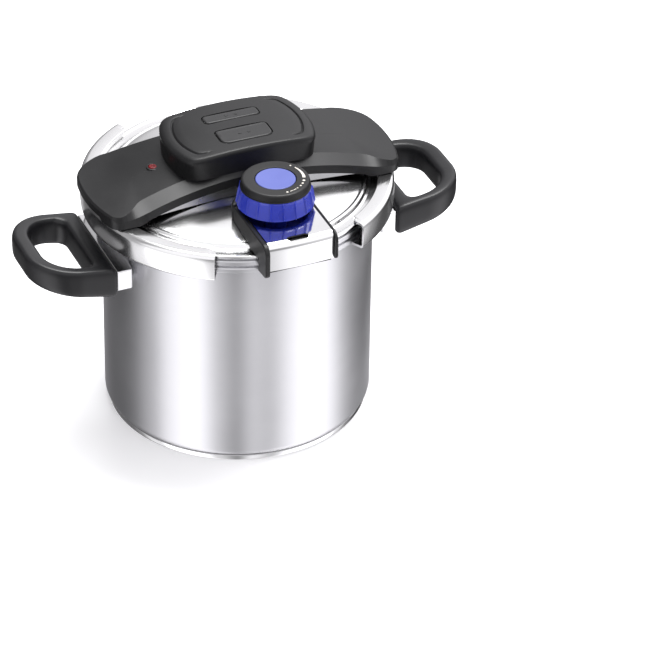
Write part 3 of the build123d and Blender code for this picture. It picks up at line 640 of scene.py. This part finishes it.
def make_pod():
    """The raised pod: bulging ends, a crisp top edge, and a groove round each end of its panel."""
    loops = []
    for inset_x, inset_y, lift in ((0.8, 0.9, -1.2), (0.8, 0.9, 0.6), (0.6, 0.7, 2.4)):
        loops.append([(x, y, arch_z(x) + lift) for x, y in pod_plan(inset_x, inset_y, 34)])
    for inset_x, inset_y, drop in (
            (0.2, 0.3, 6.6), (0.0, 0.0, 4.4), (0.15, 0.05, 3.2), (0.5, 0.2, 2.2), (1.2, 0.5, 1.3),
            (2.1, 0.9, 0.7), (3.2, 1.4, 0.28), (4.6, 2.2, 0.05), (6.4, 3.4, 0.0)):
        loops.append([(x, y, POD_TOP - drop + pod_crown(x, y))
                      for x, y in pod_plan(inset_x, inset_y, 22 if drop > 6 else 12)])
    groove = ((8.4, 0.0), (8.9, 0.15), (9.3, 0.9), (9.9, 1.4), (10.5, 0.9), (10.9, 0.15), (11.4, 0.0))
    for inset, depth in groove:
        loops.append([(x, y, POD_TOP + pod_crown(x, y) - depth * smoothstep(abs(x), 34.0, 41.0))
                      for x, y in pod_plan(inset, inset * 0.8)])
    for share in (0.72, 0.58, 0.44, 0.3, 0.16, 0.05):
        loops.append([(x, y, POD_TOP + pod_crown(x, y))
                      for x, y in pod_plan(POD_REACH * (1 - share), POD_Y * (1 - share))])
    pod = rings("pod_casing", loops, BLACK, "lid", cap_low=False, cap_high=True, sharp=50.0)
    shell = pod.modifiers.new("wall", "SOLIDIFY")
    shell.thickness = 2.2 * MM
    shell.offset = -1.0
    for length, width, centre_y in ((OPEN_LENGTH, OPEN_WIDTH, OPEN_Y), (CLOSE_LENGTH, CLOSE_WIDTH, CLOSE_Y)):
        hole = button_plan(length, width, centre_y, BUTTON_GAP, length == OPEN_LENGTH)
        carve(pod, hole, POD_TOP - 12.0, POD_TOP + 4.0)
    pod.visible_glossy = False                   # kept out of reflections, so the lid in front stays bright
    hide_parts("pod_shell", "pod_top_panel")


def apply_modifiers(piece):
    """Turn a piece's modifiers into plain mesh."""
    depsgraph = bpy.context.evaluated_depsgraph_get()
    made = bpy.data.meshes.new_from_object(piece.evaluated_get(depsgraph))
    piece.modifiers.clear()
    piece.data = made


def carve(piece, outline, low_z, high_z):
    """Cut an upright prism out of a piece."""
    count = len(outline)
    points = [Vector((x, y, z)) * MM for z in (low_z, high_z) for x, y in outline]
    faces = [tuple(range(count)), tuple(range(count, 2 * count))]
    faces += [(k, (k + 1) % count, count + (k + 1) % count, count + k) for k in range(count)]
    mesh = bpy.data.meshes.new("cutter")
    mesh.from_pydata(points, [], faces)
    cutter = bpy.data.objects.new("cutter", mesh)
    bpy.context.scene.collection.objects.link(cutter)
    weld(cutter)
    cut = piece.modifiers.new("cut", "BOOLEAN")
    cut.operation = "DIFFERENCE"
    cut.solver = "EXACT"
    cut.object = cutter
    bpy.context.view_layer.update()
    apply_modifiers(piece)
    bpy.data.objects.remove(cutter)
    piece.data.shade_smooth()
    piece.data.set_sharp_from_angle(angle=radians(45))


def button_plan(length, width, centre_y, grow, wide_front):
    """A button's outline; the front button has larger round corners towards the front."""
    half_x, half_y = length / 2 + grow, width / 2 + grow
    front = 7.0 if wide_front else 3.5
    corners = [(-half_x, centre_y - half_y), (half_x, centre_y - half_y), (half_x, centre_y + half_y),
               (-half_x, centre_y + half_y)]
    front, rear = max(0.5, front + grow), max(0.5, 3.0 + grow)
    radii = {0: front, 1: front, 2: rear, 3: rear}
    return rounded(corners, radii, 9.0)


def make_button(name, node, length, width, centre_y, icon):
    """A key with a rolled edge and a dished top, in its pocket in the pod's panel."""
    wide_front = length == OPEN_LENGTH
    loops = []
    rim = ((0.0, -6.0), (0.0, -0.3), (0.15, 0.2), (0.5, 0.5), (1.0, 0.62), (1.8, 0.58), (2.4, 0.5))
    for inset, height in rim:
        plan = button_plan(length, width, centre_y, -inset, wide_front)
        loops.append([(x, y, POD_TOP + pod_crown(x, y) + height) for x, y in plan])
    edge = loops[-1]
    for share in (0.7, 0.4, 0.1):
        dished = [(x * share, centre_y + (y - centre_y) * share) for x, y, _ in edge]
        loops.append([(x, y, POD_TOP + pod_crown(x, y) + 0.5 - 0.2 * (1 - share)) for x, y in dished])
    key = rings(name, loops, BUTTON, node, sharp=45.0)
    key.visible_glossy = False
    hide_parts(node)
    size = 1.9                                   # of the small triangles
    for index, (direction, x) in enumerate(icon):
        points = [(x + direction * size, centre_y), (x - direction * size * 0.7, centre_y + size),
                  (x - direction * size * 0.7, centre_y - size)]
        if direction < 0:
            points.reverse()
        base = POD_TOP + pod_crown(x, centre_y)
        prism(f"{name}_mark_{index}", rounded(points, 0.5, 30.0), base - 0.3, base + 0.55, BUTTON, node)


# ------------------------------------------------------------------ pressure indicator
def make_indicator():
    x = (low("indicator_pin", X) + high("indicator_pin", X)) / 2
    y = (low("indicator_pin", Y) + high("indicator_pin", Y)) / 2
    top = high("indicator_pin", Z)
    foot = low("indicator_pin", Z)
    profile = [(0, foot), (2.2, foot), (2.2, top - 6.0), (3.5, top - 6.0), (3.5, top), (1.6, top),
               (1.2, top - 0.5), (0, top - 0.5)]
    pin = lathe("red_pin", rounded(profile, {4: 0.9, 5: 0.4, 6: 0.3}, 15.0), RED, "indicator",
                (x, y), 48)
    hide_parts("indicator_pin")
    surround = [(3.9, top - 4.0), (5.4, top - 4.0), (5.4, top - 0.5), (3.9, top - 0.3)]
    lathe("indicator_surround", rounded(surround, {2: 0.5, 3: 0.4}, 20.0), BLACK, "lid",
          (x, y), 48)


# ------------------------------------------------------------------ working valve
VALVE_REAR = -68.0                               # where the cover plate ends and the rear block starts
SLOT_X = -0.8                                    # the steam slot's middle


def side_profile(foot_rise):
    """Side view of the housing's wall: along the lid, down to the foot, and round the front bend."""
    wall_rear, inner_foot = VALVE_REAR - 1.0, -120.2
    foot = HOUSING_LOW + foot_rise
    return rounded([(wall_rear, LID_TOP - 1.4), (-85.0, LID_TOP - 3.0), (-99.5, LID_TOP - 4.4),
                    (-103.5, LID_Z + 3.4), (inner_foot, LID_Z + 3.4), (inner_foot, foot),
                    (HOUSING_FRONT, foot + 1.5), (HOUSING_FRONT, HOUSING_TOP), (wall_rear, HOUSING_TOP)],
                   {3: 1.0, 5: 1.5, 6: 4.0, 7: 8.0}, 8.0)


def make_housing():
    """Black valve housing: two side walls, a round rear block and a lower front block."""
    half = HOUSING_HALF
    for word, side, foot_rise, inner_x in (("left", -1, 4.2, PLATE_HALF + 0.3),
                                           ("right", 1, 8.5, PLATE_RIGHT + 0.5)):
        outline = side_profile(foot_rise)
        loops = [[(side * x, y, z) for y, z in outline] for x in (inner_x, half)]
        wall = rings(f"valve_wall_{word}", loops, BLACK, "lid")
        add_bevel(wall, 1.3, 4, 40.0)
        if side < 0:
            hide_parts("valve_housing")
    radius = 35.0
    rear = KNOB_Y + sqrt(radius ** 2 - half ** 2)
    plan = [(-half, VALVE_REAR), (half, VALVE_REAR)]
    first = atan2(rear - KNOB_Y, half)
    for k in range(33):
        angle = first + (pi - 2 * first) * k / 32
        plan.append((radius * cos(angle), KNOB_Y + radius * sin(angle)))
    prism("valve_rear_block", plan, LID_TOP - 1.2, HOUSING_TOP + 0.8, BLACK, "lid", 1.6, 4)
    front, rear = PLATE_FRONT + 1.6, -121.5
    inner = [(-PLATE_HALF, rear), (-PLATE_HALF, front), (PLATE_HALF, front), (PLATE_HALF, rear)]
    prism("valve_front_block", inner, PLATE_LOW - 1.8, LID_TOP - 2.0, BLACK, "lid", 0.6)


def make_plate():
    """Polished cover plate: flat top, rounded bend and a front skirt that bows forward a little."""
    sheet, bend, bow_depth = 1.2, 6.0, 1.1
    arc_steps = 12
    bend_y, skirt_top = PLATE_FRONT + bend, HOUSING_TOP - bend
    centreline = [(VALVE_REAR + (bend_y - VALVE_REAR) * k / 14, HOUSING_TOP, 0.0) for k in range(15)]
    for k in range(1, arc_steps + 1):
        angle = pi / 2 * k / arc_steps
        centreline.append((bend_y - bend * sin(angle), skirt_top + bend * cos(angle), angle))
    for k in range(1, 11):
        centreline.append((PLATE_FRONT, skirt_top + (PLATE_LOW - skirt_top) * k / 10, pi / 2))
    columns = [-PLATE_HALF + (PLATE_HALF + PLATE_RIGHT) * i / 48 for i in range(49)]
    slot_y, slot_half, slot_radius = bend_y - 0.4, 9.2, 2.7

    def point(x, station, depth):
        """A point of the plate, depth below its outer face; towards the front its sides lie back."""
        y, z, angle = station
        set_back = bow_depth * (x / PLATE_HALF) ** 2
        front = smoothstep(-y, -(PLATE_FRONT + 14.0), -PLATE_FRONT)
        return (x, y + set_back * front + depth * sin(angle), z - depth * cos(angle))

    points, faces = [], []
    rows = len(centreline)
    for depth in (0.0, sheet):
        for station in centreline:
            for x in columns:
                points.append(point(x, station, depth))
    wide = len(columns)
    layer = rows * wide
    for r in range(rows - 1):
        for c in range(wide - 1):
            a = r * wide + c
            faces.append((a, a + 1, a + wide + 1, a + wide))
            faces.append((layer + a, layer + a + wide, layer + a + wide + 1, layer + a + 1))
    for r in range(rows - 1):
        for c in (0, wide - 1):
            a = r * wide + c
            faces.append((a, a + wide, layer + a + wide, layer + a))
    for c in range(wide - 1):
        for r in (0, rows - 1):
            a = r * wide + c
            faces.append((a, a + 1, layer + a + 1, layer + a))
    plate = add_object("valve_plate", points, faces, POLISHED, "lid", 40.0)
    weld(plate)
    slot = []
    for sign in (1, -1):
        for k in range(13):
            angle = -sign * pi / 2 + pi * k / 12
            slot.append((SLOT_X + sign * (slot_half - slot_radius) + slot_radius * cos(angle),
                         slot_y + slot_radius * sin(angle)))
    carve(plate, slot, HOUSING_TOP - 12.0, HOUSING_TOP + 4.0)
    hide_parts("valve_cover_plate")
    hood = round_rectangle(slot_half + 2.5, 5.6, 1.5, 6, (SLOT_X, slot_y + 3.0))
    prism("steam_slot_backing", hood, HOUSING_TOP - 6.6, HOUSING_TOP - 2.7, BLACK, "lid",
          0.4)


# ------------------------------------------------------------------ selector knob
def make_knob():
    centre = (0, KNOB_Y)
    flats = 18
    base_r, collar_r, bore_r, cap_r, print_r = 31.0, 28.4, 9.5, 16.1, 22.6
    low_z = KNOB_LOW + 0.2

    def flutes(radius, height, turn):
        """Flat facets that meet at thin raised ribs."""
        if radius < collar_r - 2.0:
            return radius
        half = pi / flats
        away = (turn % (2 * half)) - half
        fade = smoothstep(height, low_z + 0.2, low_z + 1.6) * smoothstep(KNOB_COLLAR - height, 0.1, 1.4)
        rib = 1.1 * smoothstep(abs(away), half * 0.87, half * 0.94)
        flat = radius * cos(half) / cos(away)
        return radius + (flat - radius + rib) * fade

    wall = [(base_r - (base_r - collar_r) * t, low_z + 0.6 + (KNOB_COLLAR - low_z - 0.9) * t)
            for t in [k / 12 for k in range(13)]]
    profile = [(base_r - 4.0, low_z), (base_r - 0.7, low_z)] + wall + [
        (collar_r - 0.6, KNOB_COLLAR), (bore_r, KNOB_COLLAR), (6.3, KNOB_COLLAR), (6.3, KNOB_LOW + 1.0),
        (bore_r, KNOB_LOW + 1.0), (bore_r, KNOB_COLLAR - 2.5), (collar_r - 4.0, KNOB_COLLAR - 2.5)]
    ring = lathe("blue_ring", profile, BLUE, "selector", centre, 720, flutes, 40.0)
    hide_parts("knob_ring")

    top = [(cap_r + 0.5, KNOB_COLLAR), (collar_r, KNOB_COLLAR), (collar_r, KNOB_COLLAR + 0.5),
           (collar_r - 0.5, KNOB_COLLAR + 0.9), (collar_r - 0.2, KNOB_COLLAR + 1.4),
           (collar_r - 1.4, KNOB_TOP), (cap_r + 0.5, KNOB_TOP - 0.1)]
    black = lathe("knob_face", rounded(top, {1: 0.2, 5: 2.2, 6: 0.5}, 12.0), BLACK, "selector",
                  centre, 192)
    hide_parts("knob_top_ring")

    cap = [(0, KNOB_COLLAR), (cap_r, KNOB_COLLAR), (cap_r, KNOB_TOP - 0.15), (12.0, KNOB_TOP - 0.35),
           (0, KNOB_TOP - 0.6)]
    disc = lathe("knob_disc", rounded(cap, {2: 0.7, 3: 20.0}, 8.0), CAP_BLUE, "selector",
                 centre, 128)
    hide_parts("knob_cap")

    low_print, printed = KNOB_TOP - 0.3, KNOB_TOP + 0.15
    printed_dots = ((36.0, 0.7), (-30.0, 1.15), (-41.0, 0.95), (-51.0, 0.8), (-62.0, 0.62), (-74.0, 0.5),
                    (-88.0, 0.9))                # degrees round the knob, radius
    for index, (degree, size) in enumerate(printed_dots):
        angle = radians(degree)
        x, y = print_r * cos(angle), KNOB_Y + print_r * sin(angle)
        outline = [(x + size * cos(2 * pi * k / 20), y + size * sin(2 * pi * k / 20)) for k in range(20)]
        prism(f"knob_dot_{index}", outline, low_print, printed, WHITE, "selector")
    for name, start, end, width0, width1 in (("sweep", -19.0, 25.0, 1.25, 0.45),
                                             ("tail", -82.0, -66.0, 0.3, 0.3)):
        outline = []
        for side in (1, -1):
            for k in range(25):
                t = k / 24 if side > 0 else 1 - k / 24
                angle = radians(start + (end - start) * t)
                reach = print_r + side * (width0 + (width1 - width0) * t)
                outline.append((reach * cos(angle), KNOB_Y + reach * sin(angle)))
        prism(f"knob_{name}", outline, low_print, printed, WHITE, "selector")
    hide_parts("knob_scale")


# ------------------------------------------------------------------ handle brackets
def make_bracket(side, word):
    """Polished block between the handle and the pot's wall, hollowed to fit the wall."""
    half, near, turn = high("right_handle_bracket", Y), 109.2, 15.95
    seat_r = POT_R + 0.05
    plan = [(HANDLE_BACK, -half), (HANDLE_BACK, half), (near, half)]
    for k in range(17):
        angle = radians(turn - 2 * turn * k / 16)
        plan.append((seat_r * cos(angle), seat_r * sin(angle)))
    plan.append((near, -half))
    plan = [(side * x, y) for x, y in plan]
    block = prism(f"{word}_bracket_block", plan, low("right_handle_bracket", Z),
                  high("right_handle_bracket", Z), POLISHED, "pot", 0.9, 3)
    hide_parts(f"{word}_handle_bracket")


# ------------------------------------------------------------------ CAD nodes that stay
def dress_nodes():
    """Give every CAD node that stays its own material."""
    kept = {
        ALUMINIUM: ("base_disc",),
        INNER_STEEL: ("left_handle_screws", "right_handle_screws", "left_jaw_arm", "right_jaw_arm",
                      "left_jaw_rivets", "right_jaw_rivets", "mechanism_frame", "bridge_stud",
                      "bridge_lower_nut", "bridge_upper_nut", "left_jaw_spring", "right_jaw_spring",
                      "open_button_spring", "close_button_spring", "safety_valve_spring", "valve_spring"),
        RUBBER: ("lid_seal", "indicator_bush"),
        BLACK: ("button_guide_plate",),
        BRASS: ("safety_valve_body", "safety_valve_nut", "safety_valve_piston", "valve_stud", "valve_nut",
                "valve_piston")}
    for material, names in kept.items():
        for name in names:
            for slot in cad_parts[name].material_slots:
                slot.material = material


# ------------------------------------------------------------------ floor, light and camera
CAMERA_AZIMUTH = -22.0                           # degrees from the front, and up from level
CAMERA_ELEVATION = 33.35
CAMERA_DISTANCE = 3.2                            # metres
TARGET = Vector((0, 0, 0.1))
LENS = 213.86
SENSOR = 36.0
PAN_RIGHT, PAN_DOWN = 1.303, 0.582               # degrees that the view is turned off the target


def make_floor():
    mesh = bpy.data.meshes.new("floor")
    size = 30.0                                  # metres
    corners = [(-size, -size, 0), (size, -size, 0), (size, size, 0), (-size, size, 0)]
    mesh.from_pydata(corners, [], [(0, 1, 2, 3)])
    floor = bpy.data.objects.new("floor", mesh)
    bpy.context.scene.collection.objects.link(floor)
    material, _, _, shader = new_material("pale_floor")
    shader.inputs["Base Color"].default_value = (0.95, 0.95, 0.955, 1)
    shader.inputs["Roughness"].default_value = 0.9
    shader.inputs["Specular IOR Level"].default_value = 0.1
    shader.inputs["Emission Color"].default_value = (1, 1, 1, 1)
    shader.inputs["Emission Strength"].default_value = 0.12
    mesh.materials.append(material)
    floor.visible_glossy = False                 # gloss sees the studio's soft boxes instead


def make_world():
    """A soft studio: one row of boxes and gaps level with the pot, another above it, and a pale ceiling."""
    world = bpy.data.worlds.new("studio")
    bpy.context.scene.world = world
    world.use_nodes = True
    nodes, links = world.node_tree.nodes, world.node_tree.links
    background = nodes["Background"]
    coords = nodes.new("ShaderNodeTexCoord")
    split = nodes.new("ShaderNodeSeparateXYZ")
    links.new(coords.outputs["Generated"], split.inputs["Vector"])
    turn = nodes.new("ShaderNodeMath")
    turn.operation = "ARCTAN2"
    links.new(split.outputs["Y"], turn.inputs[0])
    links.new(split.outputs["X"], turn.inputs[1])
    share = nodes.new("ShaderNodeMapRange")
    share.inputs["From Min"].default_value = -pi
    share.inputs["From Max"].default_value = pi
    links.new(turn.outputs["Value"], share.inputs["Value"])

    def row(levels):
        """Brightness round the horizon: (degrees from +X, brightness)."""
        bands = nodes.new("ShaderNodeValToRGB")
        ramp = bands.color_ramp
        ramp.interpolation = "EASE"
        while len(ramp.elements) < len(levels):
            ramp.elements.new(0.5)
        for element, (angle, level) in zip(ramp.elements, levels):
            element.position = (angle + 180) / 360
            element.color = (level, level * 0.99, level * 1.015, 1)
        links.new(share.outputs["Result"], bands.inputs["Fac"])
        return bands.outputs["Color"]

    def blend(start, end, first, second):
        """Change from one colour to another between two heights."""
        height = nodes.new("ShaderNodeMapRange")
        height.interpolation_type = "SMOOTHSTEP"
        height.inputs["From Min"].default_value = start
        height.inputs["From Max"].default_value = end
        links.new(split.outputs["Z"], height.inputs["Value"])
        mix = nodes.new("ShaderNodeMix")
        mix.data_type = "RGBA"
        links.new(height.outputs["Result"], mix.inputs["Factor"])
        links.new(first, mix.inputs[6])
        if isinstance(second, tuple):
            mix.inputs[7].default_value = second
        else:
            links.new(second, mix.inputs[7])
        return mix.outputs[2]

    level = row(((-180, 1.75), (-148, 1.95), (-128, 0.70), (-112, 0.30), (-98, 0.95), (-81, 0.60),
                 (-62, 1.5), (-45, 2.1), (-26, 2.0), (-12, 0.80), (3, 0.26), (17, 0.08), (34, 0.08),
                 (50, 0.35), (68, 0.6), (88, 0.45), (104, 0.14), (138, 0.14), (152, 0.26), (166, 0.85)))
    upper = row(((-180, 1.2), (-120, 1.2), (-60, 1.3), (0, 1.3), (28, 1.7), (50, 1.5), (66, 1.1), (84, 0.4),
                 (105, 0.3), (150, 0.4)))
    dim = nodes.new("ShaderNodeMapRange")        # the lower row is brighter well below the horizon
    dim.interpolation_type = "SMOOTHSTEP"
    dim.inputs["From Min"].default_value = -0.5
    dim.inputs["From Max"].default_value = -0.3
    dim.inputs["To Min"].default_value = 1.18
    dim.inputs["To Max"].default_value = 0.55
    links.new(split.outputs["Z"], dim.inputs["Value"])
    faded = nodes.new("ShaderNodeVectorMath")
    faded.operation = "SCALE"
    links.new(level, faded.inputs[0])
    links.new(dim.outputs["Result"], faded.inputs["Scale"])
    colour = blend(0.78, 0.95, blend(0.0, 0.25, faded.outputs["Vector"], upper), (1.1, 1.1, 1.11, 1))
    links.new(colour, background.inputs["Color"])
    background.inputs["Strength"].default_value = 1.0


def make_light(name, place, size, power, aim=(0, 0, 0.15)):
    data = bpy.data.lights.new(name, "AREA")
    data.shape = "RECTANGLE"
    data.size, data.size_y = size
    data.energy = power
    light = bpy.data.objects.new(name, data)
    bpy.context.scene.collection.objects.link(light)
    light.location = place
    light.rotation_euler = (Vector(aim) - Vector(place)).to_track_quat("-Z", "Y").to_euler()


def make_camera():
    data = bpy.data.cameras.new("camera")
    data.lens, data.sensor_width = LENS, SENSOR
    data.clip_start, data.clip_end = 0.1, 100.0
    camera = bpy.data.objects.new("camera", data)
    bpy.context.scene.collection.objects.link(camera)
    azimuth, elevation = radians(CAMERA_AZIMUTH), radians(CAMERA_ELEVATION)
    back = Vector((sin(azimuth) * cos(elevation), -cos(azimuth) * cos(elevation), sin(elevation)))
    facing = (-back).to_track_quat("-Z", "Y").to_matrix()
    pan = Matrix.Rotation(radians(-PAN_RIGHT), 3, "Y") @ Matrix.Rotation(radians(-PAN_DOWN), 3, "X")
    camera.matrix_world = Matrix.Translation(TARGET + back * CAMERA_DISTANCE) @ (facing @ pan).to_4x4()
    bpy.context.scene.camera = camera


make_camera()
make_floor()
make_world()
make_light("overhead", place=(0.45, 0.4, 2.1), size=(1.7, 0.9), power=54.0)
bpy.context.scene.view_settings.view_transform = "Standard"

make_pot()
make_lid()
make_jaw("left_jaw_arc", "left_jaw", 180.0)
make_jaw("right_jaw_arc", "right_jaw", 0.0)
make_handle(-1, "left")
make_handle(1, "right")
make_bracket(-1, "left")
make_bracket(1, "right")
make_bridge()
make_pod()
make_button("open_key", "open_button", OPEN_LENGTH, OPEN_WIDTH, OPEN_Y, ((-1, -4.0), (1, 4.0)))
make_button("close_key", "close_button", CLOSE_LENGTH, CLOSE_WIDTH, CLOSE_Y, ((1, -4.0), (-1, 4.0)))
make_indicator()
make_housing()
make_plate()
make_knob()
dress_nodes()
